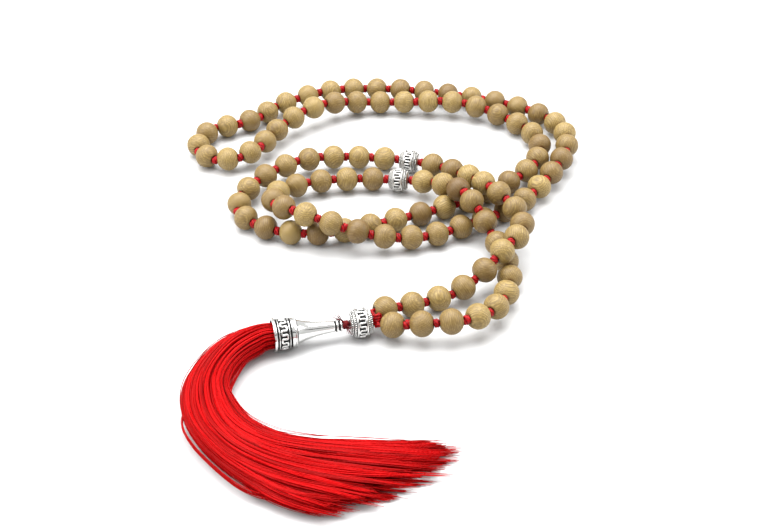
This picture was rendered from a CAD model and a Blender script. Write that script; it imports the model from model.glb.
"""Looks of the mala: turned sandalwood, wound cord knots, cast silver and loose silk thread.

Lengths are millimetres in the frame of the CAD and become metres where a mesh is made. Camera,
lights and the two routes are in metres.
"""

import math

import bpy
import numpy as np
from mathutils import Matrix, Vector


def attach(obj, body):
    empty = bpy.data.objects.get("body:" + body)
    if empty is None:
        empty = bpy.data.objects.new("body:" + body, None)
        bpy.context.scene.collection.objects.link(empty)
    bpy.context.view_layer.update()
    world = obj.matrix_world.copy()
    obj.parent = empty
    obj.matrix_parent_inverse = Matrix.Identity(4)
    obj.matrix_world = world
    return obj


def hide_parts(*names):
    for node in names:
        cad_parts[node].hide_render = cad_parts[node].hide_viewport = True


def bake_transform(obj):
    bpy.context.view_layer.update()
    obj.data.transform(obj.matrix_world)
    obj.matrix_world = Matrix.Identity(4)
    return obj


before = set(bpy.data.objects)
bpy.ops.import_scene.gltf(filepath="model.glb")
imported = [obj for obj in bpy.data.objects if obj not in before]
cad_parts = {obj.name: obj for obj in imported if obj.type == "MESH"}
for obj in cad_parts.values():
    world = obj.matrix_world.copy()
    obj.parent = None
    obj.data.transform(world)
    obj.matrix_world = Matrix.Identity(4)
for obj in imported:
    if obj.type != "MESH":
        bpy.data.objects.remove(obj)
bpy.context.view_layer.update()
MM = 0.001
RNG = np.random.default_rng(108)

# ---------------------------------------------------------------- camera

CAMERA_PLACE = (0.0005, -0.3830, 0.2937)
CAMERA_PITCH = 37.3             # degrees below level
FOCAL_LENGTH = 71.3             # mm on a 36 mm wide sensor

camera_data = bpy.data.cameras.new("camera")
camera_data.sensor_fit = "HORIZONTAL"
camera_data.sensor_width = 36.0
camera_data.lens = FOCAL_LENGTH
camera_data.clip_start = 0.01
camera_data.clip_end = 10.0
camera = bpy.data.objects.new("camera", camera_data)
camera.location = CAMERA_PLACE
camera.rotation_euler = (math.radians(90.0 - CAMERA_PITCH), 0.0, 0.0)
bpy.context.scene.collection.objects.link(camera)
bpy.context.scene.camera = camera

# ---------------------------------------------------------------- routes of the two strands

# Steering points of the cord in metres, the same points that the CAD solids follow.
FIRST_ROUTE = [
    (-0.0032, -0.0283, 0.0055), (0.0165, -0.0215, 0.0030), (0.0285, -0.0150, 0.0055),
    (0.0395, -0.0045, 0.0135), (0.0480, 0.0110, 0.0090), (0.0365, 0.0260, 0.0135),
    (0.0270, 0.0435, 0.0070), (0.0145, 0.0550, 0.0040), (-0.0070, 0.0575, 0.0045),
    (-0.0275, 0.0550, 0.0060), (-0.0430, 0.0415, 0.0055), (-0.0505, 0.0265, 0.0040),
    (-0.0380, 0.0145, 0.0040), (-0.0190, 0.0120, 0.0040), (0.0010, 0.0190, 0.0040),
    (0.0210, 0.0275, 0.0040), (0.0395, 0.0385, 0.0040), (0.0540, 0.0515, 0.0055),
    (0.0565, 0.0690, 0.0050), (0.0450, 0.0845, 0.0035), (0.0290, 0.0915, 0.0065),
    (0.0115, 0.0920, 0.0055), (-0.0060, 0.0950, 0.0035), (-0.0231, 0.0867, 0.0090),
    (-0.0392, 0.0732, 0.0045), (-0.0410, 0.0598, 0.0067), (-0.0561, 0.0515, 0.0041),
    (-0.0640, 0.0611, 0.0040),
]
SECOND_ROUTE = [
    (-0.0010, -0.0340, 0.0045), (0.0205, -0.0390, 0.0090), (0.0355, -0.0295, 0.0060),
    (0.0415, -0.0075, 0.0040), (0.0360, 0.0100, 0.0040), (0.0285, 0.0210, 0.0145),
    (0.0205, 0.0375, 0.0070), (0.0065, 0.0440, 0.0040), (-0.0155, 0.0435, 0.0050),
    (-0.0340, 0.0380, 0.0050), (-0.0380, 0.0225, 0.0095), (-0.0255, 0.0120, 0.0130),
    (-0.0060, 0.0080, 0.0070), (0.0130, 0.0095, 0.0040), (0.0300, 0.0190, 0.0040),
    (0.0465, 0.0290, 0.0040), (0.0580, 0.0460, 0.0055), (0.0665, 0.0635, 0.0065),
    (0.0620, 0.0830, 0.0040), (0.0460, 0.0935, 0.0040), (0.0260, 0.1000, 0.0040),
    (0.0070, 0.1010, 0.0055), (-0.0055, 0.1050, 0.0035), (-0.0225, 0.0994, 0.0060),
    (-0.0440, 0.0886, 0.0035), (-0.0437, 0.0807, 0.0042), (-0.0677, 0.0752, 0.0039),
    (-0.0640, 0.0611, 0.0040),
]
PLACES = 55                     # links of one strand, each with one bead
MARKER_PLACE = 15


def spline_points(name, route):
    """Points along the smooth line that a route's steering points give, in millimetres."""
    curve = bpy.data.curves.new(name, "CURVE")
    curve.dimensions = "3D"
    spline = curve.splines.new("NURBS")
    spline.points.add(len(route) - 1)
    for point, place in zip(spline.points, route):
        point.co = (*place, 1.0)
    spline.order_u = 3
    spline.use_endpoint_u = True
    spline.resolution_u = 32
    carrier = bpy.data.objects.new(name, curve)
    bpy.context.scene.collection.objects.link(carrier)
    line = bpy.data.meshes.new_from_object(carrier)
    points = np.array([vertex.co[:] for vertex in line.vertices], float)
    bpy.data.objects.remove(carrier)
    bpy.data.curves.remove(curve)
    bpy.data.meshes.remove(line)
    return points / MM


def equal_knots(points, places):
    """Points at equal distances along a line: the knots between the beads."""
    steps = np.linalg.norm(np.diff(points, axis=0), axis=1)
    travelled = np.concatenate([[0.0], np.cumsum(steps)])
    targets = np.linspace(0.0, travelled[-1], places + 1)
    return np.stack([np.interp(targets, travelled, points[:, k]) for k in range(3)], axis=1)


STRANDS = {
    "first": equal_knots(spline_points("first_route", FIRST_ROUTE), PLACES),
    "second": equal_knots(spline_points("second_route", SECOND_ROUTE), PLACES),
}
# Body, first link and last link of each stretch of a strand
STRETCHES = {
    "guru_end": ("guru_end", 1, 2),
    "near_run": ("near_run", 3, 4),
    "middle": ("middle", 5, 42),
    "top_run": ("top_run", 43, 47),
    "left_run": ("left_run", 48, 51),
    "end_loop": ("end_loop", 52, 55),
}
SINGLE_STRETCHES = ("guru_end", "near_run", "end_loop")


def unit(vector):
    vector = np.asarray(vector, float)
    return vector / np.linalg.norm(vector)


def axes_along(direction, roll=0.0):
    """3 x 3 matrix whose third column is the direction."""
    z = unit(direction)
    up = np.array([0.0, 0.0, 1.0]) if abs(z[2]) < 0.9 else np.array([0.0, 1.0, 0.0])
    x = unit(np.cross(up, z))
    y = np.cross(z, x)
    c, s = math.cos(roll), math.sin(roll)
    return np.stack([x * c + y * s, y * c - x * s, z], axis=1)


def link(strand, place):
    """Middle and direction of one link."""
    knots = STRANDS[strand]
    return (knots[place - 1] + knots[place]) / 2, unit(knots[place] - knots[place - 1])


def knot_axis(strand, index):
    """Mean direction of the links on both sides of a knot."""
    before = link(strand, max(index, 1))[1]
    after = link(strand, min(index + 1, PLACES))[1]
    return unit(before + after)


# ---------------------------------------------------------------- mesh making

FIELDS = {"grain": 3, "wound": 3, "tone": 1, "worn": 1, "recess": 1}


class Build:
    """Parts of one mesh: their points, faces and values per point."""

    def __init__(self):
        self.points, self.faces, self.count = [], [], 0
        self.fields = {name: [] for name in FIELDS}

    def add(self, points, faces, **values):
        points = np.asarray(points, float)
        for name, width in FIELDS.items():
            value = np.asarray(values.get(name, 0.0), float)
            shape = (len(points), width) if width > 1 else (len(points),)
            self.fields[name].append(np.broadcast_to(value, shape))
        self.points.append(points)
        self.faces += (np.asarray(faces) + self.count).tolist()
        self.count += len(points)

    def mesh(self, name):
        mesh = bpy.data.meshes.new(name)
        points = np.concatenate(self.points) * MM
        mesh.from_pydata(points.tolist(), [], self.faces)
        for field, width in FIELDS.items():
            values = np.concatenate(self.fields[field])
            if not np.any(values):
                continue
            kind = "FLOAT_VECTOR" if width == 3 else "FLOAT"
            attribute = mesh.attributes.new(field, kind, "POINT")
            key = "vector" if width == 3 else "value"
            attribute.data.foreach_set(key, values.astype(np.float32).ravel())
        mesh.polygons.foreach_set("use_smooth", [True] * len(mesh.polygons))
        mesh.update()
        return mesh


def piece(name, build, material):
    """A new object with the built mesh, not yet on a body."""
    obj = bpy.data.objects.new(name, build.mesh(name))
    bpy.context.scene.collection.objects.link(obj)
    obj.data.materials.append(material)
    return obj


def grid_faces(rows, columns, closed):
    """Quads over a grid of rows x columns points, with the columns going round if closed."""
    r = np.arange(rows - 1)[:, None]
    c = np.arange(columns if closed else columns - 1)[None, :]
    c2 = (c + 1) % columns
    return np.stack([r * columns + c, r * columns + c2, (r + 1) * columns + c2,
                     (r + 1) * columns + c], axis=-1).reshape(-1, 4)


def revolve(profile, segments):
    """Points and faces of a profile of (z, radius) rows turned round Z."""
    profile = np.asarray(profile, float)
    angle = np.arange(segments) * 2 * math.pi / segments
    z = np.repeat(profile[:, 0], segments)
    radius = np.repeat(profile[:, 1], segments)
    turned = np.tile(angle, len(profile))
    points = np.stack([radius * np.cos(turned), radius * np.sin(turned), z], axis=1)
    return points, grid_faces(len(profile), segments, True)


def tubes(paths, radii, sides, reference=(0.0, 0.0, 1.0)):
    """Tubes along many paths of the same number of points: points, faces and the wound field."""
    paths = np.asarray(paths, float)
    count, steps, _ = paths.shape
    along = np.gradient(paths, axis=1)
    along /= np.linalg.norm(along, axis=2, keepdims=True) + 1e-12
    reference = np.broadcast_to(np.asarray(reference, float), paths.shape)
    side = np.cross(reference, along)
    side /= np.linalg.norm(side, axis=2, keepdims=True) + 1e-12
    up = np.cross(along, side)
    radii = np.broadcast_to(np.asarray(radii, float), (count, steps))
    angle = np.arange(sides) * 2 * math.pi / sides
    ca, sa = np.cos(angle), np.sin(angle)
    ring = side[:, :, None, :] * ca[:, None] + up[:, :, None, :] * sa[:, None]
    points = paths[:, :, None, :] + ring * radii[:, :, None, None]
    length = np.concatenate([np.zeros((count, 1)), np.cumsum(
        np.linalg.norm(np.diff(paths, axis=1), axis=2), axis=1)], axis=1)
    wound = np.stack([np.broadcast_to(ca, (count, steps, sides)),
                      np.broadcast_to(sa, (count, steps, sides)),
                      np.broadcast_to(length[:, :, None], (count, steps, sides))], axis=-1)
    one = grid_faces(steps, sides, True)
    faces = (one[None] + np.arange(count)[:, None, None] * steps * sides).reshape(-1, 4)
    return points.reshape(-1, 3), faces, wound.reshape(-1, 3)


def placed(points, origin, axes):
    return points @ axes.T + np.asarray(origin, float)


def smooth_noise(count, steps, waves, rng):
    """Rows of smooth random values, mostly within +-1, with at most that many half waves."""
    x = np.linspace(0.0, 1.0, steps)[None, :]
    total = np.zeros((count, steps))
    for wave in range(1, waves + 1):
        strength = rng.normal(0.0, 1.0, (count, 1)) / math.sqrt(wave)
        phase = rng.uniform(0.0, 2 * math.pi, (count, 1))
        total += strength * np.sin(2 * math.pi * wave * x * 0.5 + phase)
    return total / math.sqrt(waves)


# ---------------------------------------------------------------- materials

class Nodes:
    """Short way to write the nodes of a material or the world."""

    def __init__(self, owner, shader="Principled BSDF"):
        owner.use_nodes = True
        self.owner, self.tree = owner, owner.node_tree
        self.shader = self.tree.nodes[shader]

    def node(self, kind, values=None, **settings):
        made = self.tree.nodes.new(kind)
        for key, value in settings.items():
            setattr(made, key, value)
        for key, value in (values or {}).items():
            self.set(made, key, value)
        return made

    def field(self, name, output="Vector"):
        return self.node("ShaderNodeAttribute", attribute_name=name).outputs[output]

    def maths(self, operation, a, b=0.0, c=0.0):
        made = self.node("ShaderNodeMath", {0: a, 1: b}, operation=operation)
        if operation == "MULTIPLY_ADD":
            self.set(made, 2, c)
        return made.outputs[0]

    def set(self, made, key, value):
        if isinstance(value, bpy.types.NodeSocket):
            self.tree.links.new(value, made.inputs[key])
        else:
            made.inputs[key].default_value = value

    def ramp(self, factor, stops):
        made = self.node("ShaderNodeValToRGB", {"Fac": factor})
        elements = made.color_ramp.elements
        while len(elements) < len(stops):
            elements.new(0.5)
        for element, (position, colour) in zip(elements, stops):
            element.position = position
            element.color = (*colour, 1.0)
        return made.outputs["Color"]

    def mix(self, factor, a, b):
        made = self.node("ShaderNodeMix", {0: factor}, data_type="RGBA")
        for key, value in ((6, a), (7, b)):
            self.set(made, key, value if isinstance(value, bpy.types.NodeSocket) else (*value, 1.0))
        return made.outputs[2]

    def scaled(self, vector, scale):
        return self.node("ShaderNodeMapping", {"Vector": vector, "Scale": scale}).outputs[0]

    def noise(self, vector, scale, detail=3.0, roughness=0.5, distortion=0.0):
        return self.node("ShaderNodeTexNoise", {
            "Vector": vector, "Scale": scale, "Detail": detail, "Roughness": roughness,
            "Distortion": distortion}).outputs["Fac"]

    def step(self, value, low, high):
        """0 up to low, 1 from high on and even between them."""
        return self.node("ShaderNodeMapRange", {"Value": value, "From Min": low, "From Max": high}
                         ).outputs[0]

    def bump(self, height, strength, distance):
        return self.node("ShaderNodeBump", {"Height": height, "Strength": strength,
                                            "Distance": distance}).outputs[0]

    def finish(self, **inputs):
        for key, value in inputs.items():
            self.set(self.shader, key.replace("_", " "), value)
        return self.owner


def linear(red, green, blue):
    """Linear colour of an 8-bit screen colour."""
    return tuple(((v / 255 + 0.055) / 1.055) ** 2.4 if v > 10 else v / 255 / 12.92
                 for v in (red, green, blue))


def sandalwood():
    """Turned and oiled wood: rings, streaks, pores and a grimy edge at the bore."""
    n = Nodes(bpy.data.materials.new("sandalwood"))
    grain = n.field("grain")
    tone = n.field("tone", "Fac")
    worn = n.field("worn", "Fac")
    rings = n.node("ShaderNodeTexWave", {
        "Vector": n.scaled(grain, (1.0, 1.0, 0.12)), "Scale": 0.55, "Distortion": 3.2,
        "Detail": 3.0, "Detail Scale": 1.1, "Detail Roughness": 0.6}, wave_type="RINGS",
        rings_direction="Z").outputs["Fac"]
    streaks = n.noise(n.scaled(grain, (2.6, 2.6, 0.35)), 1.0, 5.0, 0.62, 0.4)
    fibres = n.noise(n.scaled(grain, (9.0, 9.0, 1.1)), 1.0, 3.0, 0.6)
    pores = n.noise(n.scaled(grain, (7.0, 7.0, 1.6)), 1.0, 2.0, 0.5)
    pore_mask = n.step(pores, 0.60, 0.70)
    pale, middle, brown = linear(180, 156, 94), linear(144, 118, 58), linear(94, 68, 22)
    base = n.ramp(streaks, ((0.28, brown), (0.50, middle), (0.68, pale)))
    ringed = n.mix(n.maths("MULTIPLY", rings, 0.5), base, linear(82, 56, 16))
    fine = n.mix(n.maths("MULTIPLY", fibres, 0.3), ringed, linear(182, 166, 116))
    pored = n.mix(n.maths("MULTIPLY", pore_mask, 0.55), fine, linear(66, 44, 20))
    dark = n.mix(n.maths("MULTIPLY", tone, 0.85), pored, linear(82, 54, 16))
    grimy = n.mix(n.maths("MULTIPLY", worn, 0.65), dark, linear(46, 30, 14))
    height = n.maths("SUBTRACT", fibres, n.maths("MULTIPLY", pore_mask, 0.8))
    rough = n.maths("MULTIPLY_ADD", fibres, 0.22, 0.36)
    return n.finish(Base_Color=grimy, Roughness=rough, Specular_IOR_Level=0.45,
                    Normal=n.bump(height, 0.35, 0.00012))


def red_cord(name, deep, bright, shine):
    """Twisted cord: plies turn round it, with fine fibre and darker grooves between them."""
    n = Nodes(bpy.data.materials.new(name))
    wound = n.node("ShaderNodeSeparateXYZ", {0: n.field("wound")})
    x, y, length = wound.outputs
    turn = n.maths("ARCTAN2", y, x)
    plies = n.maths("SINE", n.maths("ADD", n.maths("MULTIPLY", turn, 3.0),
                                    n.maths("MULTIPLY", length, 6.5)))
    fibre = n.maths("SINE", n.maths("ADD", n.maths("MULTIPLY", turn, 14.0),
                                    n.maths("MULTIPLY", length, 24.0)))
    ply_height = n.maths("POWER", n.maths("ABSOLUTE", n.maths("MULTIPLY_ADD", plies, 0.5, 0.5)),
                         0.5)
    coord = n.node("ShaderNodeTexCoord").outputs["Object"]
    mottle = n.noise(coord, 900.0, 3.0, 0.6)
    base = n.mix(ply_height, deep, bright)
    patchy = n.mix(n.maths("MULTIPLY", mottle, 0.35), base, deep)
    darkest = tuple(v * 0.35 for v in deep)
    toned = n.mix(n.maths("MULTIPLY", n.field("tone", "Fac"), 0.75), patchy, darkest)
    height = n.maths("ADD", ply_height, n.maths("MULTIPLY", fibre, 0.12))
    rough = n.maths("MULTIPLY_ADD", mottle, 0.2, shine)
    return n.finish(Base_Color=toned, Roughness=rough, Specular_IOR_Level=0.2,
                    Normal=n.bump(height, 0.6, 0.0001))


def red_silk():
    """Lustrous silk thread: tone changes from thread to thread and along each one."""
    n = Nodes(bpy.data.materials.new("red_silk"))
    tone = n.field("tone", "Fac")
    wound = n.node("ShaderNodeSeparateXYZ", {0: n.field("wound")})
    x, y, length = wound.outputs
    turn = n.maths("ARCTAN2", y, x)
    twist = n.maths("SINE", n.maths("ADD", n.maths("MULTIPLY", turn, 2.0),
                                    n.maths("MULTIPLY", length, 5.0)))
    coord = n.node("ShaderNodeTexCoord").outputs["Object"]
    mottle = n.noise(coord, 420.0, 3.0, 0.6)
    base = n.ramp(tone, ((0.0, linear(120, 0, 0)), (0.45, linear(162, 0, 1)),
                         (1.0, linear(192, 2, 5))))
    patchy = n.mix(n.maths("MULTIPLY", mottle, 0.3), base, linear(120, 0, 2))
    rough = n.maths("MULTIPLY_ADD", mottle, 0.20, 0.38)
    return n.finish(Base_Color=patchy, Roughness=rough, Specular_IOR_Level=0.06,
                    Normal=n.bump(twist, 0.25, 0.00004))


def silver(name, polish, tarnish, blackening):
    """Cast silver-plated metal: bright where it is rubbed, blackened in its recesses."""
    n = Nodes(bpy.data.materials.new(name))
    recess = n.field("recess", "Fac")
    coord = n.node("ShaderNodeTexCoord").outputs["Object"]
    cloud = n.noise(coord, 260.0, 4.0, 0.6)
    specks = n.noise(coord, 1900.0, 3.0, 0.65)
    scratch = n.noise(n.scaled(coord, (500.0, 3200.0, 900.0)), 1.0, 2.0, 0.5)
    edge = n.maths("ADD", recess, n.maths("MULTIPLY_ADD", specks, 0.5, -0.25))
    mask = n.step(edge, 0.30, 0.75)
    bright = n.mix(n.maths("MULTIPLY", cloud, tarnish), linear(228, 228, 226),
                   linear(158, 154, 146))
    colour = n.mix(n.maths("MULTIPLY", mask, blackening), bright, linear(22, 21, 22))
    rough = n.maths("ADD", n.maths("MULTIPLY_ADD", scratch, 0.10, polish),
                    n.maths("MULTIPLY", mask, 0.35))
    metal = n.maths("MULTIPLY_ADD", mask, -0.25, 1.0)
    height = n.maths("ADD", n.maths("MULTIPLY", cloud, 0.6), n.maths("MULTIPLY", scratch, 0.2))
    return n.finish(Base_Color=colour, Roughness=rough, Metallic=metal,
                    Normal=n.bump(height, 0.12, 0.00008))


WOOD = sandalwood()
CORD = red_cord("red_cord", linear(96, 0, 4), linear(178, 6, 12), 0.34)
DARK_CORD = red_cord("dark_red_cord", linear(58, 2, 6), linear(124, 6, 14), 0.42)
SILK = red_silk()
CAST_SILVER = silver("cast_silver", 0.16, 0.35, 0.97)
OLD_SILVER = silver("old_silver", 0.26, 0.75, 0.93)
BRIGHT_SILVER = silver("bright_silver", 0.07, 0.18, 0.97)

# ---------------------------------------------------------------- wooden beads

BEAD_RADIUS = 4.0
BEAD_AXIAL = 3.8                # half axis of the rounded outline along the bore
BEAD_HALF = 3.5                 # half length between the flats
BEAD_SEGMENTS = 36
OUT_OF_ROUND = 0.028            # spread of each wobble of a bead's outline


def bead_profile():
    """(z, radius, worn) rows from deep in one bore, over the outside, into the other bore."""
    outside = []
    for z in np.linspace(-3.30, 3.30, 19):
        outside.append((z, BEAD_RADIUS * math.sqrt(1 - (z / BEAD_AXIAL) ** 2), 0.0))
    low = [(-1.6, 0.90, 1.0), (-3.05, 0.90, 1.0), (-3.30, 1.12, 0.95), (-3.44, 1.30, 0.75),
           (-3.495, 1.46, 0.45), (-3.46, 1.66, 0.22)]
    high = [(-z, radius, worn) for z, radius, worn in reversed(low)]
    return np.array(low + outside + high)


PROFILE = bead_profile()


def add_bead(build, strand, place):
    middle, direction = link(strand, place)
    points, faces = revolve(PROFILE[:, :2], BEAD_SEGMENTS)
    worn = np.repeat(PROFILE[:, 2], BEAD_SEGMENTS)
    # A hand-turned bead is a little out of round.
    wobble = RNG.normal(0.0, OUT_OF_ROUND, 6)
    a = np.arctan2(points[:, 1], points[:, 0])
    out = (wobble[0] * np.cos(2 * a + wobble[1] * 99) + wobble[2] * np.cos(3 * a + wobble[3] * 99)
           + wobble[4] * points[:, 2] / BEAD_HALF)
    body = (worn == 0.0).astype(float)
    wider = 1 + out / BEAD_RADIUS * body
    shaped = points * np.stack([wider, wider, np.ones_like(out)], axis=1)
    spin = axes_along(RNG.normal(0, 1, 3), RNG.uniform(0, 2 * math.pi))
    grain = points @ spin.T + RNG.uniform(-400, 400, 3)
    tone = np.clip(RNG.beta(1.5, 2.6), 0, 1)
    build.add(placed(shaped, middle, axes_along(direction, RNG.uniform(0, 6.28))), faces,
              grain=grain, tone=tone, worn=worn)


def bead_number(place):
    return place if place < MARKER_PLACE else place - 1


for strand in STRANDS:
    for stretch, (body, first, last) in STRETCHES.items():
        places = [place for place in range(first, last + 1) if place != MARKER_PLACE]
        if stretch in SINGLE_STRETCHES:
            for place in places:
                node = f"{strand}_strand_bead_{bead_number(place):02d}"
                build = Build()
                add_bead(build, strand, place)
                wood = piece(f"{node}_wood", build, WOOD)
                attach(wood, node)
                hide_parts(node)
        else:
            node = f"{strand}_strand_beads_{bead_number(first):02d}_to_{bead_number(last):02d}"
            build = Build()
            for place in places:
                add_bead(build, strand, place)
            wood = piece(f"{node}_wood", build, WOOD)
            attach(wood, body)
            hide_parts(node)

# ---------------------------------------------------------------- cord and its knots

CORD_RADIUS = 0.5
PLY_RADIUS = 0.44               # cord in a knot's turns, pressed a little flat
KNOT_SIZES = (1.08, 1.20)       # smallest and largest scale of a knot between beads


def coil(turns, pitch, coil_radius, steps):
    """Helix round Z, centred on the origin, with its ends tucked in."""
    t = np.linspace(0.0, 1.0, steps)
    angle = t * turns * 2 * math.pi
    tuck = np.clip(np.minimum(t, 1 - t) * turns * 3.0, 0.0, 1.0)
    radius = coil_radius * (0.45 + 0.55 * np.sin(tuck * math.pi / 2))
    return np.stack([radius * np.cos(angle), radius * np.sin(angle),
                     (t - 0.5) * turns * pitch], axis=1)


def add_tube(build, path, radius, sides, origin, axes, reference=(0.0, 0.0, 1.0), tone=0.0):
    """One tube, given about the origin and put in place by axes and origin."""
    points, faces, wound = tubes(np.asarray(path)[None], radius, sides, reference)
    build.add(placed(points, origin, axes), faces, wound=wound, tone=tone)


def add_knot(build, centre, direction, size, tone=0.0):
    """Knot of two wound turns and a strap that crosses them."""
    axes = axes_along(direction, RNG.uniform(0, 2 * math.pi)) * size
    origin = np.asarray(centre, float)
    add_tube(build, coil(2.3, 0.56, 0.86, 40), PLY_RADIUS, 8, origin, axes, tone=tone)
    t = np.linspace(-1.0, 1.0, 13)
    lean = RNG.uniform(0.5, 0.85)
    strap = np.stack([0.98 * np.cos(t * 1.25), 0.98 * np.sin(t * 1.25), t * lean], axis=1)
    strap[:, :2] *= (1.0 - 0.35 * np.abs(t) ** 3)[:, None]
    add_tube(build, strap, 0.37 * (1 - 0.25 * t ** 4), 8, origin, axes, tone=tone)


def owned_knots(stretch, first, last):
    """Knots of a stretch. Where two meet, the one farther from the middle has the knot."""
    if stretch == "middle":
        return range(first, last)
    if stretch == "guru_end":
        return range(1, last + 1)
    if stretch == "near_run":
        return range(first, last + 1)
    return range(first - 1, last)


def add_strand(build, strand, stretch):
    _, first, last = STRETCHES[stretch]
    knots = STRANDS[strand]
    path = []
    if stretch == "guru_end":
        path += list(TIE_POINT + (knots[0] - TIE_POINT) * np.linspace(0.1, 0.9, 5)[:, None])
    for place in range(first, last + 1):
        for share in (0.0, 0.08, 0.3, 0.5, 0.7, 0.92):
            path.append(knots[place - 1] + (knots[place] - knots[place - 1]) * share)
    path.append(knots[last])
    points, faces, wound = tubes(np.array(path)[None], CORD_RADIUS, 10)
    build.add(points, faces, wound=wound)
    for index in owned_knots(stretch, first, last):
        add_knot(build, knots[index], knot_axis(strand, index), RNG.uniform(*KNOT_SIZES),
                 RNG.uniform(0.0, 0.25))


TIE_POINT = np.array([-1.4, -31.7, 4.55])
HANG = unit((-30.4, -7.6, 0.7))
HANG_AXES = axes_along(HANG)

for strand in STRANDS:
    for stretch, (body, first, last) in STRETCHES.items():
        if stretch == "end_loop":
            continue
        build = Build()
        add_strand(build, strand, stretch)
        node = f"{strand}_strand_cord_{stretch}"
        cord = piece(f"{node}_twist", build, CORD)
        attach(cord, body)
        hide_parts(node)

build = Build()
for strand in STRANDS:
    add_strand(build, strand, "end_loop")
FAR_AXIS = unit(link("first", PLACES)[1] - link("second", PLACES)[1])
add_knot(build, STRANDS["first"][PLACES], FAR_AXIS, KNOT_SIZES[0])
cord = piece("end_loop_cord_twist", build, CORD)
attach(cord, "end_loop")
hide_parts("end_loop_cord")

# ---------------------------------------------------------------- silver beads

def shaped_profile(rows, rounding):
    """Rows of (z, radius, recess) with each straight part divided, so that values fade evenly."""
    rows = np.array(rows, float)
    dense = [rows[0]]
    for before, after in zip(rows, rows[1:]):
        for step in range(1, rounding + 1):
            dense.append(before + (after - before) * step / rounding)
    return np.array(dense)


def add_turned(build, rows, segments, origin, axes, rounding=2):
    profile = shaped_profile(rows, rounding)
    points, faces = revolve(profile[:, :2], segments)
    build.add(placed(points, origin, axes), faces, recess=np.repeat(profile[:, 2], segments))


def add_pellets(build, count, z, ring_radius, pellet, origin, axes, stretch):
    """Row of small raised grains round the bead."""
    lat = np.linspace(0.0, math.pi, 7)
    lon = np.arange(8) * 2 * math.pi / 8
    ball = np.stack([np.outer(np.sin(lat), np.cos(lon)).ravel(),
                     np.outer(np.sin(lat), np.sin(lon)).ravel(),
                     np.outer(np.cos(lat), np.ones(8)).ravel()], axis=1)
    faces = grid_faces(7, 8, True)
    for index in range(count):
        a = 2 * math.pi * index / count
        grain = ball * pellet * np.array([1.0, 1.0, stretch])
        turn = np.array([[math.cos(a), -math.sin(a), 0], [math.sin(a), math.cos(a), 0], [0, 0, 1]])
        moved = (grain + np.array([ring_radius, 0.0, z])) @ turn.T
        depth = np.clip((ring_radius + pellet * 0.1 - np.hypot(moved[:, 0], moved[:, 1]))
                        / pellet * 1.2, 0, 1)
        build.add(placed(moved, origin, axes), faces, recess=depth)


def add_meander(build, periods, z, reach, band_radius, wire, origin, axes, corner, swing):
    """Raised ribbon to and fro across a sunk band. A swing over one makes its loops bulge."""
    steps = periods * 32
    t = np.arange(steps + 1) / steps
    phase = t * periods * 2 * math.pi
    wave = np.tanh(corner * np.sin(phase)) / math.tanh(corner)
    angle = (phase - 0.5 * swing * np.sin(2 * phase)) / periods
    path = np.stack([band_radius * np.cos(angle), band_radius * np.sin(angle), z + reach * wave],
                    axis=1)
    outward = np.stack([np.cos(angle), np.sin(angle), np.zeros_like(angle)], axis=1)
    points, faces, _ = tubes(path[None], wire, 8, outward[None])
    radius = np.hypot(points[:, 0], points[:, 1])
    depth = np.clip((band_radius - wire * 0.1 - radius) / wire, 0, 1)
    build.add(placed(points, origin, axes), faces, recess=depth)


GURU_RADIUS, GURU_HALF = 4.55, 3.5
MARKER_RADIUS, MARKER_HALF = 3.9, 3.3
SILVER_BORE = 0.95              # radius
GRAIN_RADIUS = 0.27             # pellets and ribbon of the guru bead


def silver_bead_rows(k, h):
    """(z, radius, recess) of a guru bead that is scaled by k across and by h along its bore."""
    side = [(3.5, 1.05, 0.8), (3.5, 1.35, 0.2), (3.5, 2.35, 0.1), (3.42, 2.75, 0.1),
            (3.28, 3.05, 0.2), (3.22, 3.12, 0.9), (3.16, 3.16, 1.0), (2.62, 3.52, 1.0),
            (2.56, 3.72, 0.5), (2.50, 3.88, 0.0), (2.40, 3.93, 0.0), (2.32, 3.86, 0.6),
            (2.28, 3.74, 1.0), (1.78, 3.92, 1.0), (1.72, 4.16, 0.5), (1.66, 4.36, 0.0),
            (1.50, 4.46, 0.0), (1.28, 4.46, 0.0), (1.20, 4.40, 0.3), (1.16, 4.12, 1.0)]
    rows = [(-1.6, SILVER_BORE, 1.0), (-3.4, SILVER_BORE, 1.0)]
    rows += [(-z, r, depth) for z, r, depth in side]
    rows += [(0.0, 4.10, 1.0)]
    rows += [(z, r, depth) for z, r, depth in reversed(side)]
    rows += [(3.4, SILVER_BORE, 1.0), (1.6, SILVER_BORE, 1.0)]
    return [(z * h, r * k if r > SILVER_BORE else r, depth) for z, r, depth in rows]


def silver_bead(name, material, radius, half, origin, direction, roll, body):
    build = Build()
    axes = axes_along(direction, roll)
    k, h = radius / GURU_RADIUS, half / GURU_HALF
    grain = GRAIN_RADIUS * k
    add_turned(build, silver_bead_rows(k, h), 96, origin, axes)
    for side in (-1, 1):
        add_pellets(build, 34, side * 2.90 * h, 3.30 * k, grain, origin, axes, 0.95)
        add_pellets(build, 40, side * 2.03 * h, 3.86 * k, grain, origin, axes, 0.85)
    add_meander(build, 11, 0.0, 0.94 * h, 4.24 * k, grain, origin, axes, 2.2, 1.0)
    obj = piece(f"{name}_cast", build, material)
    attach(obj, body)
    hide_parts(name)


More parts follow.
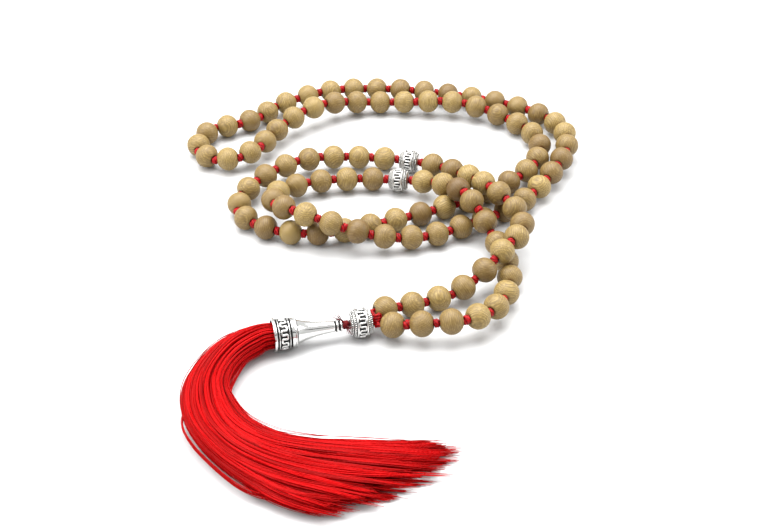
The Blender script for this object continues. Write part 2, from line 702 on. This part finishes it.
# Distances from the tie knot to the middle of the guru bead, the stop knot and the cap's top
GURU_AT, STOP_AT, CAP_AT = 5.15, 9.75, 10.9
silver_bead("guru_bead", CAST_SILVER, GURU_RADIUS, GURU_HALF, TIE_POINT + HANG * GURU_AT, HANG,
            0.35, "guru_bead")
for strand, roll in (("first", 1.1), ("second", 2.3)):
    middle, direction = link(strand, MARKER_PLACE)
    silver_bead(f"{strand}_strand_marker_bead", OLD_SILVER, MARKER_RADIUS, MARKER_HALF, middle,
                direction, roll, f"{strand}_strand_marker_bead")

# ---------------------------------------------------------------- guru cord and its knots

build = Build()
TIE_AXIS = unit((-0.06, 0.5, 0.86))
tie_axes = axes_along(TIE_AXIS)
add_tube(build, coil(4.6, 0.80, 0.88, 90), CORD_RADIUS, 10, TIE_POINT, tie_axes)
t = np.linspace(-1.0, 1.0, 17)
strap = np.stack([-1.22 * np.cos(t * 0.8), 1.22 * np.sin(t * 0.8), t * 1.9], axis=1)
add_tube(build, strap, 0.42, 8, TIE_POINT, tie_axes)
tie = piece("guru_tie_knot_wound", build, CORD)
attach(tie, "guru_link")
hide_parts("guru_tie_knot")

build = Build()
line = TIE_POINT + HANG * np.linspace(0.6, STOP_AT, 24)[:, None]
points, faces, wound = tubes(line[None], 0.52, 10)
build.add(points, faces, wound=wound)
cord = piece("guru_cord_twist", build, DARK_CORD)
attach(cord, "guru_link")
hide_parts("guru_cord")

build = Build()
STOP_POINT = TIE_POINT + HANG * STOP_AT
stop_axes = axes_along(HANG, 0.4)
add_tube(build, coil(2.2, 0.62, 0.95, 44), PLY_RADIUS, 10, STOP_POINT, stop_axes, tone=0.2)
t = np.linspace(-1.0, 1.0, 13)
strap = np.stack([1.1 * np.cos(t * 1.3), 1.1 * np.sin(t * 1.3), t * 0.55], axis=1)
add_tube(build, strap, 0.38, 8, STOP_POINT, stop_axes, tone=0.1)
# Cut ends of the cord stand up beside the knot and have come apart into fibres.
for end, lean in (((-0.75, 0.1, 1.0), 4.2), ((0.5, -0.9, -0.15), 2.6)):
    heading = unit(end)
    fibres = 16
    t = np.linspace(0.0, 1.0, 9)[None, :, None]
    spread = RNG.normal(0, 1, (fibres, 1, 3))
    reach = lean * RNG.uniform(0.6, 1.0, (fibres, 1, 1))
    paths = (STOP_POINT + heading * 0.7 + heading * t * reach + spread * (0.16 + 0.55 * t ** 2)
             + np.array([0, 0, -0.5]) * t ** 2 * reach * 0.25)
    paths[:, :, 2] = np.maximum(paths[:, :, 2], 0.15)
    points, faces, wound = tubes(paths, 0.11 * (1 - 0.5 * t[..., 0]), 5, (0.3, 0.9, 0.2))
    build.add(points, faces, wound=wound, tone=0.25)
stop = piece("guru_stop_knot_frayed", build, DARK_CORD)
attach(stop, "guru_link")
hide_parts("guru_stop_knot")

# ---------------------------------------------------------------- tassel cap

CAP_POINT = TIE_POINT + HANG * CAP_AT
CAP_LENGTH = 21.0
# (z, radius, recess) from the bore over the outside and the rim to the inside of the collar
CAP_ROWS = [
    (3.0, 0.95, 1.0), (0.3, 0.95, 1.0), (0.05, 1.0, 0.8), (0.0, 1.2, 0.3), (0.0, 1.6, 0.1),
    (0.08, 1.82, 0.0), (0.22, 1.95, 0.0), (0.42, 1.95, 0.0), (0.56, 1.82, 0.2), (0.64, 1.60, 1.0),
    (0.72, 1.48, 1.0), (1.08, 1.48, 1.0), (1.16, 1.60, 1.0), (1.24, 1.90, 0.2), (1.36, 2.05, 0.0),
    (1.62, 2.05, 0.0), (1.76, 1.92, 0.2), (1.84, 1.66, 1.0), (1.94, 1.56, 1.0), (2.20, 1.56, 1.0),
    (2.32, 1.66, 0.7), (2.42, 1.74, 0.0), (3.2, 1.78, 0.0), (4.4, 1.86, 0.0), (5.6, 1.97, 0.0),
    (6.8, 2.11, 0.0), (8.0, 2.28, 0.0), (9.2, 2.49, 0.0), (10.4, 2.74, 0.0), (11.4, 3.00, 0.0),
    (12.3, 3.28, 0.0), (13.0, 3.55, 0.0), (13.5, 3.78, 0.0), (13.72, 3.88, 0.7),
    (13.80, 3.92, 1.0), (13.92, 3.94, 1.0), (13.98, 4.30, 0.3), (14.04, 4.62, 0.0),
    (14.14, 4.76, 0.0), (14.30, 4.78, 0.0), (14.42, 4.68, 0.0), (14.50, 4.50, 0.3),
    (14.58, 4.42, 0.0), (14.9, 4.44, 0.0), (15.3, 4.50, 0.0), (15.50, 4.52, 0.2),
    (15.58, 4.34, 1.0), (15.64, 4.20, 1.0), (16.0, 4.20, 1.0), (16.06, 4.34, 1.0),
    (16.12, 4.66, 0.2), (16.22, 4.74, 0.0), (16.36, 4.70, 0.0), (16.44, 4.50, 0.9),
    (16.50, 4.30, 1.0), (17.4, 4.30, 1.0), (18.4, 4.34, 1.0), (19.16, 4.36, 1.0),
    (19.22, 4.56, 0.9), (19.30, 4.78, 0.0), (19.44, 4.84, 0.0), (19.56, 4.76, 0.2),
    (19.62, 4.50, 1.0), (19.68, 4.32, 1.0), (19.98, 4.32, 1.0), (20.04, 4.60, 0.8),
    (20.10, 4.95, 0.1), (20.22, 5.08, 0.0), (20.6, 5.13, 0.0), (20.86, 5.10, 0.0),
    (20.98, 4.98, 0.0), (21.0, 4.70, 0.1), (20.94, 4.44, 0.5), (20.7, 4.30, 0.9),
    (19.0, 4.28, 1.0), (15.4, 4.25, 1.0), (15.2, 3.1, 1.0), (9.5, 1.9, 1.0), (5.0, 0.95, 1.0),
    (3.0, 0.95, 1.0),
]
build = Build()
add_turned(build, CAP_ROWS, 128, CAP_POINT, HANG_AXES)
add_meander(build, 11, 17.86, 0.86, 4.48, 0.33, CAP_POINT, HANG_AXES, 1.4, 1.35)
cap = piece("tassel_cap_cast", build, BRIGHT_SILVER)
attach(cap, "tassel_cap")
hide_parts("tassel_cap")

# ---------------------------------------------------------------- tassel cord, head and binding

LOOP_AT, LOOP_RADIUS, HEAD_START = 9.0, 1.0, 7.2
build = Build()
stem = np.stack([np.zeros(12), np.zeros(12), np.linspace(-0.4, LOOP_AT - LOOP_RADIUS, 12)], axis=1)
a = np.linspace(0.0, 2 * math.pi, 25)
eye = np.stack([LOOP_RADIUS * np.sin(a), np.zeros(25), LOOP_AT - LOOP_RADIUS * np.cos(a)], axis=1)
add_tube(build, stem, CORD_RADIUS, 10, CAP_POINT, HANG_AXES, (0.0, 1.0, 0.0))
add_tube(build, eye, 0.45, 8, CAP_POINT, HANG_AXES, (0.0, 1.0, 0.0))
cord = piece("tassel_cord_twist", build, DARK_CORD)
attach(cord, "tassel_link")
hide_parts("tassel_cord")

build = Build()
count, steps, sides = 150, 12, 5
z = np.linspace(HEAD_START + 1.0, 20.0, steps)
angle = RNG.uniform(0, 2 * math.pi, (count, 1))
share = np.sqrt(RNG.uniform(0.2, 1.0, (count, 1)))
outer = np.interp(z, [8.0, 10.0, 15.6, 17.0, 20.0], [1.1, 1.3, 2.4, 3.1, 3.7])[None, :]
local = np.stack([share * outer * np.cos(angle), share * outer * np.sin(angle),
                  np.broadcast_to(z, (count, steps))], axis=2)
points, faces, wound = tubes(local, 0.2, sides, (1.0, 0.0, 0.0))
build.add(placed(points, CAP_POINT, HANG_AXES), faces, wound=wound,
          tone=np.repeat(RNG.uniform(0.2, 0.8, count), steps * sides))
head = piece("tassel_head_threads", build, SILK)
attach(head, "tassel_link")
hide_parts("tassel_head")

build = Build()
BINDING_RADIUS, BINDING_TURNS = 3.78, 9
t = np.linspace(0.0, 1.0, 260)
a = t * BINDING_TURNS * 2 * math.pi
winding = np.stack([BINDING_RADIUS * np.cos(a), BINDING_RADIUS * np.sin(a), 16.2 + 2.3 * t], axis=1)
add_tube(build, winding, 0.16, 6, CAP_POINT, HANG_AXES)
binding = piece("tassel_binding_wound", build, SILK)
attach(binding, "tassel_link")
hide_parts("tassel_binding")

# ---------------------------------------------------------------- silk

MOUTH = CAP_AT + CAP_LENGTH     # distance from the tie knot
SILK_LIFT = 0.25                # lowest threads' height over the surface


def silk_sections():
    """Rows across the silk: (x, y) of outer edge, middle and inner edge, then the height of the
    centre and half the thickness."""
    rows = []
    for back, radius in ((-4.0, 3.7), (0.0, 4.05), (2.0, 4.25)):
        centre = TIE_POINT + HANG * (MOUTH + back)
        side = unit((-HANG[1], HANG[0], 0.0))[:2]
        rows.append((centre[:2] - side * radius, centre[:2], centre[:2] + side * radius,
                     centre[2], radius))
    # x, y, width from the middle to the outer and to the inner edge, half thickness
    stations = [
        (-38.5, -41.8, 4.9, 4.9, 4.6), (-43.3, -46.0, 6.0, 5.2, 4.5),
        (-47.3, -52.5, 6.2, 5.5, 4.3), (-49.5, -60.5, 6.8, 6.5, 4.2),
        (-48.8, -69.5, 7.2, 8.8, 4.0), (-45.5, -78.0, 7.0, 10.3, 3.9),
        (-39.5, -85.0, 7.6, 11.4, 3.7), (-31.5, -90.0, 9.8, 12.2, 3.5),
        (-22.5, -92.8, 13.4, 13.2, 3.2),
    ]
    centres = np.array([s[:2] for s in stations])
    for index, (x, y, outer_width, inner_width, high) in enumerate(stations):
        before = centres[max(index - 1, 0)]
        after = centres[min(index + 1, len(stations) - 1)]
        ahead = after - before
        ahead /= np.linalg.norm(ahead)
        side = np.array([-ahead[1], ahead[0]])
        centre = np.array([x, y])
        rows.append((centre - side * outer_width, centre, centre + side * inner_width,
                     high + SILK_LIFT, high))
    for outer, middle, inner, high in (
            ((-14.0, -110.5), (-12.0, -94.6), (-11.5, -80.3), 2.8),
            ((-6.5, -112.5), (-1.0, -95.6), (-0.5, -80.0), 2.2),
            ((2.0, -114.5), (10.0, -96.0), (11.0, -79.3), 1.5),
            ((10.0, -116.5), (21.0, -96.0), (22.5, -78.0), 0.8)):
        rows.append((np.array(outer), np.array(middle), np.array(inner), high + SILK_LIFT, high))
    return rows


SECTIONS = silk_sections()
EDGES = np.array([row[:3] for row in SECTIONS])         # rows, 3, 2
CENTRE_HEIGHT = np.array([row[3] for row in SECTIONS])
HALF_HEIGHT = np.array([row[4] for row in SECTIONS])
ROW_LENGTH = np.concatenate([[0.0], np.cumsum(
    np.linalg.norm(np.diff(EDGES[:, 1], axis=0), axis=1))])


def smooth_rows(values, positions, at):
    """Cubic interpolation of rows of values at the given positions."""
    slopes = np.gradient(values, positions, axis=0)
    index = np.clip(np.searchsorted(positions, at, side="right") - 1, 0, len(positions) - 2)
    gap = positions[index + 1] - positions[index]
    t = np.clip((at - positions[index]) / gap, 0.0, 1.0)
    shape = t.shape + (1,) * (values.ndim - 1)
    t, gap = t.reshape(shape), gap.reshape(shape)
    h00, h10 = 2 * t ** 3 - 3 * t ** 2 + 1, t ** 3 - 2 * t ** 2 + t
    h01, h11 = -2 * t ** 3 + 3 * t ** 2, t ** 3 - t ** 2
    return (h00 * values[index] + h10 * gap * slopes[index] + h01 * values[index + 1]
            + h11 * gap * slopes[index + 1])


def silk_places(length, across, up):
    """Points in the row frame for distances along the silk and places across and up it."""
    edges = smooth_rows(EDGES, ROW_LENGTH, length)
    height = smooth_rows(HALF_HEIGHT, ROW_LENGTH, length)
    centre = smooth_rows(CENTRE_HEIGHT, ROW_LENGTH, length)
    a = across[..., None]
    outer, middle, inner = edges[..., 0, :], edges[..., 1, :], edges[..., 2, :]
    flat = middle + a * (inner - outer) / 2 + a ** 2 * ((inner + outer) / 2 - middle)
    z = np.maximum(centre + up * height, SILK_LIFT + 0.35 * np.abs(up + 1.0))
    return np.concatenate([flat, z[..., None]], axis=-1)


# Where threads end, as distance along the silk, from the outer to the inner edge
END_ACROSS = np.array([-1.25, -1.0, -0.75, -0.5, -0.25, 0.0, 0.25, 0.5, 0.75, 1.0, 1.25])
END_LENGTH = ROW_LENGTH[11] + np.array([3.0, 6.0, 13.0, 19.0, 23.5, 30.0, 34.0, 36.5, 36.5, 34.0,
                                        31.0])
SPLIT_LENGTH = ROW_LENGTH[7]    # where the near mesh ends and the far one begins
SILK_STEPS = 30                 # points of a thread in each of the two meshes
THREAD_STEPS = 2 * SILK_STEPS - 1
THREAD_SIDES = 4
ALONG = np.linspace(0.0, 1.0, THREAD_STEPS)
LOCKS = 92


def usual_end(across):
    """Distance along the silk where threads at these places across it end."""
    return np.interp(across[:, -1], END_ACROSS, END_LENGTH)


def silk_threads(across, up, end, radius, waviness, rng):
    """Paths and radii of threads that keep to drifting places across and up the silk."""
    count = len(end)
    first = np.linspace(0.0, SPLIT_LENGTH, SILK_STEPS)
    rest = SPLIT_LENGTH + np.linspace(0.0, 1.0, SILK_STEPS)[1:] * (end[:, None] - SPLIT_LENGTH)
    length = np.concatenate([np.broadcast_to(first, (count, SILK_STEPS)), rest], axis=1)
    paths = silk_places(length, across, up)
    fuzz = np.stack([smooth_noise(count, THREAD_STEPS, 9, rng) for _ in range(3)], axis=2)
    loose = np.clip(length / ROW_LENGTH[-1], 0.0, 1.0)[..., None] ** 1.3
    paths = paths + fuzz * waviness * (0.25 + loose)
    paths[..., 2] = np.maximum(paths[..., 2], radius[:, None] + 0.03)
    taper = 1.0 - 0.62 * np.clip((ALONG - 0.88) / 0.12, 0.0, 1.0) ** 1.5
    return paths, radius[:, None] * taper


def lock_threads(rng):
    """The mass of silk: locks of threads that drift round one another over a hidden core."""
    made = []
    for index in range(LOCKS):
        inner_layer = index % 4 == 0
        angle = 2 * math.pi * (index + rng.uniform(-0.4, 0.4)) / LOCKS
        depth = rng.uniform(0.35, 0.62) if inner_layer else rng.uniform(0.76, 0.88)
        drift_angle = (smooth_noise(1, THREAD_STEPS, 3, rng)[0] * 0.22
                       * np.linspace(0.2, 1.0, THREAD_STEPS))
        drift_depth = smooth_noise(1, THREAD_STEPS, 4, rng)[0] * 0.05
        count = 11 if inner_layer else 20
        # A lock is a flattened bunch: threads in its middle stand higher than those at its edges.
        place = rng.uniform(-1.0, 1.0, count)
        layer = rng.uniform(0.0, 1.0, count)
        spread = (0.052 * (0.75 + 0.6 * rng.uniform())
                  * (1.0 + 0.35 * smooth_noise(1, THREAD_STEPS, 4, rng)[0]))
        twist = rng.uniform(-0.5, 0.5)
        spread = spread * (1.0 - 0.7 * np.clip((ALONG - 0.86) / 0.14, 0.0, 1.0) ** 1.3)
        theta = angle + drift_angle + (place[:, None] + 0.5 * np.sin(twist * 6.28 * ALONG)) * spread
        crown = 0.085 * (1.0 - place[:, None] ** 2) - 0.10 * layer[:, None]
        radial = depth + drift_depth + crown
        across = radial * np.cos(theta)
        up = radial * np.sin(theta)
        lift = usual_end(across)
        end = (lift + rng.normal(0.0, 3.4) + rng.normal(0.0, 1.5, count)
               - 0.9 * np.abs(rng.normal(0, 1.6, count)))
        radius = rng.uniform(0.13, 0.20, count)
        tone = rng.uniform(0.22, 0.85) + rng.normal(0, 0.14, count) - 0.5 * (place ** 2 > 0.7)
        made.append((across, up, end, radius, np.clip(tone, 0, 1)))
    return tuple(np.concatenate(values) for values in zip(*made))


def stray_threads(rng, count):
    """Single threads that stand off the mass over part of its length."""
    side = rng.choice([-1.0, 1.0], count)
    middle = rng.uniform(0.30, 0.85, count)[:, None]
    width = rng.uniform(0.10, 0.25, count)[:, None]
    bulge = np.exp(-((ALONG - middle) / width) ** 2)
    across = side[:, None] * (0.90 + bulge * rng.uniform(0.03, 0.14, count)[:, None])
    up = rng.uniform(-0.8, 0.5, count)[:, None] + 0.15 * smooth_noise(count, THREAD_STEPS, 3, rng)
    up = up * np.sqrt(np.clip(1.0 - (across * 0.85) ** 2, 0.05, 1.0))
    end = usual_end(across) + rng.uniform(-3.0, 6.0, count)
    return across, up, end, rng.uniform(0.09, 0.14, count), rng.uniform(0.1, 0.8, count)


def side_lock(rng, edge, start, stop, gap, count):
    """A thin bunch that leaves the edge, runs beside it across a gap and comes back."""
    rise = np.clip((ALONG - start) / 0.09, 0, 1) * np.clip((stop - ALONG) / 0.12, 0, 1)
    bulge = np.sin(rise * math.pi / 2)
    across = edge * (0.93 + gap * bulge + rng.normal(0, 0.018, (count, 1))
                     + 0.02 * smooth_noise(count, THREAD_STEPS, 5, rng))
    up = (-0.25 + 0.2 * rng.uniform(-1, 1, (count, 1))
          + 0.08 * smooth_noise(count, THREAD_STEPS, 4, rng))
    end = usual_end(across) + rng.uniform(-2.0, 2.0, count)
    return across, up, end, rng.uniform(0.10, 0.17, count), rng.uniform(0.3, 0.8, count)


def tip_strays(rng, count):
    """Threads that run on past the ragged ends and spread."""
    start = rng.uniform(-0.85, 0.9, (count, 1))
    across = start + np.clip((ALONG - 0.8) / 0.2, 0, 1) ** 2 * rng.normal(0, 0.16, (count, 1))
    up = rng.uniform(0.0, 0.8, (count, 1)) * np.sqrt(np.clip(1 - start ** 2, 0, 1)) + 0 * ALONG
    end = usual_end(across) + rng.uniform(1.0, 6.5, count)
    return across, up, end, rng.uniform(0.08, 0.13, count), rng.uniform(0.2, 0.8, count)


def core_threads(rng):
    """Thick dark threads that fill the inside, so that no gap shows through."""
    across, up = [], []
    for depth, count in ((0.66, 54), (0.36, 26), (0.1, 8)):
        theta = (np.arange(count)[:, None] * 2 * math.pi / count
                 + 0.05 * smooth_noise(count, THREAD_STEPS, 3, rng))
        across.append(depth * np.cos(theta))
        up.append(depth * 0.92 * np.sin(theta))
    across, up = np.concatenate(across), np.concatenate(up)
    end = usual_end(across) - rng.uniform(2.5, 7.0, len(across))
    return across, up, end, rng.uniform(0.42, 0.6, len(across)), rng.uniform(0.25, 0.5, len(across))


def silk_pieces():
    """Two meshes: silk that bends at the first joint, and silk that bends at the second."""
    rng = np.random.default_rng(27)
    kinds = (
        (lock_threads(rng), 0.20),
        (core_threads(rng), 0.03),
        (stray_threads(rng, 30), 0.22),
        (side_lock(rng, -1.0, 0.50, 0.88, 0.30, 12), 0.08),
        (side_lock(rng, 1.0, 0.20, 0.42, 0.20, 5), 0.10),
        (side_lock(rng, -1.0, 0.14, 0.44, 0.09, 8), 0.08),
        (tip_strays(rng, 60), 0.35),
    )
    near, far = Build(), Build()
    for (across, up, end, radius, tone), waviness in kinds:
        paths, radii = silk_threads(across, up, end, radius, waviness, rng)
        for build, part in ((near, slice(0, SILK_STEPS)), (far, slice(SILK_STEPS - 1, None))):
            points, faces, wound = tubes(paths[:, part], radii[:, part], THREAD_SIDES)
            build.add(points, faces, wound=wound, tone=np.repeat(tone, SILK_STEPS * THREAD_SIDES))
    return near, far


near_silk, far_silk = silk_pieces()
# The bend of each mesh is at one of the rows across the silk.
for name, build, bodies, nodes, section in (
        ("tassel_silk_near", near_silk, ("tassel_link", "silk_middle"),
         ("tassel_skirt_upper", "tassel_skirt_middle"), 5),
        ("tassel_silk_far", far_silk, ("silk_middle", "silk_tips"), ("tassel_skirt_tips",), 9)):
    silk = piece(name, build, SILK)
    heading = unit(np.append(EDGES[section + 1, 1] - EDGES[section - 1, 1], 0.0))
    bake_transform(silk)
    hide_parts(*nodes)

# ---------------------------------------------------------------- surface, light and air

def floor_material():
    n = Nodes(bpy.data.materials.new("pale_surface"))
    coord = n.node("ShaderNodeTexCoord").outputs["Object"]
    fine = n.noise(coord, 60.0, 4.0, 0.6)
    colour = n.mix(n.maths("MULTIPLY", fine, 0.5), linear(196, 196, 196), linear(192, 193, 194))
    return n.finish(Base_Color=colour, Roughness=0.55, Specular_IOR_Level=0.25)


FLOOR_REACH = 3000
floor_build = Build()
floor_build.add([(x * FLOOR_REACH, y * FLOOR_REACH, 0) for x, y in
                 ((-1, -1), (1, -1), (1, 1), (-1, 1))], [(0, 1, 2, 3)])
floor = bpy.data.objects.new("floor", floor_build.mesh("floor"))
bpy.context.scene.collection.objects.link(floor)
floor.data.materials.append(floor_material())


def area_light(name, place, target, width, height, power):
    data = bpy.data.lights.new(name, "AREA")
    data.shape = "RECTANGLE"
    data.size, data.size_y, data.energy = width, height, power
    light = bpy.data.objects.new(name, data)
    light.location = place
    light.rotation_euler = (Vector(target) - Vector(place)).to_track_quat("-Z", "Y").to_euler()
    bpy.context.scene.collection.objects.link(light)


area_light("soft_overhead", (-0.10, 0.30, 0.95), (0, 0, 0), 1.2, 0.9, 26.0)
area_light("soft_left", (-0.85, -0.20, 0.60), (0, 0, 0), 0.5, 0.6, 7.0)
area_light("soft_right", (0.90, 0.10, 0.55), (0, 0, 0), 0.4, 0.6, 5.0)

world = bpy.data.worlds.new("studio")
bpy.context.scene.world = world
n = Nodes(world, "Background")
_, toward_back, toward_top = n.node("ShaderNodeSeparateXYZ", {
    0: n.node("ShaderNodeTexCoord").outputs["Generated"]}).outputs
# A dark strip of the room in front, which polished silver shows as one dark line
STRIP = ((0.0, 0.75), (0.46, 1.0), (0.51, 0.02), (0.60, 0.02), (0.65, 1.0))
strip = n.ramp(toward_top, [(height, (grey, grey, grey)) for height, grey in STRIP])
n.finish(Color=n.mix(n.step(toward_back, -0.25, -0.45), (1.0, 1.0, 1.0), strip), Strength=0.95)
bpy.context.scene.view_settings.view_transform = "Standard"

bpy.context.view_layer.update()
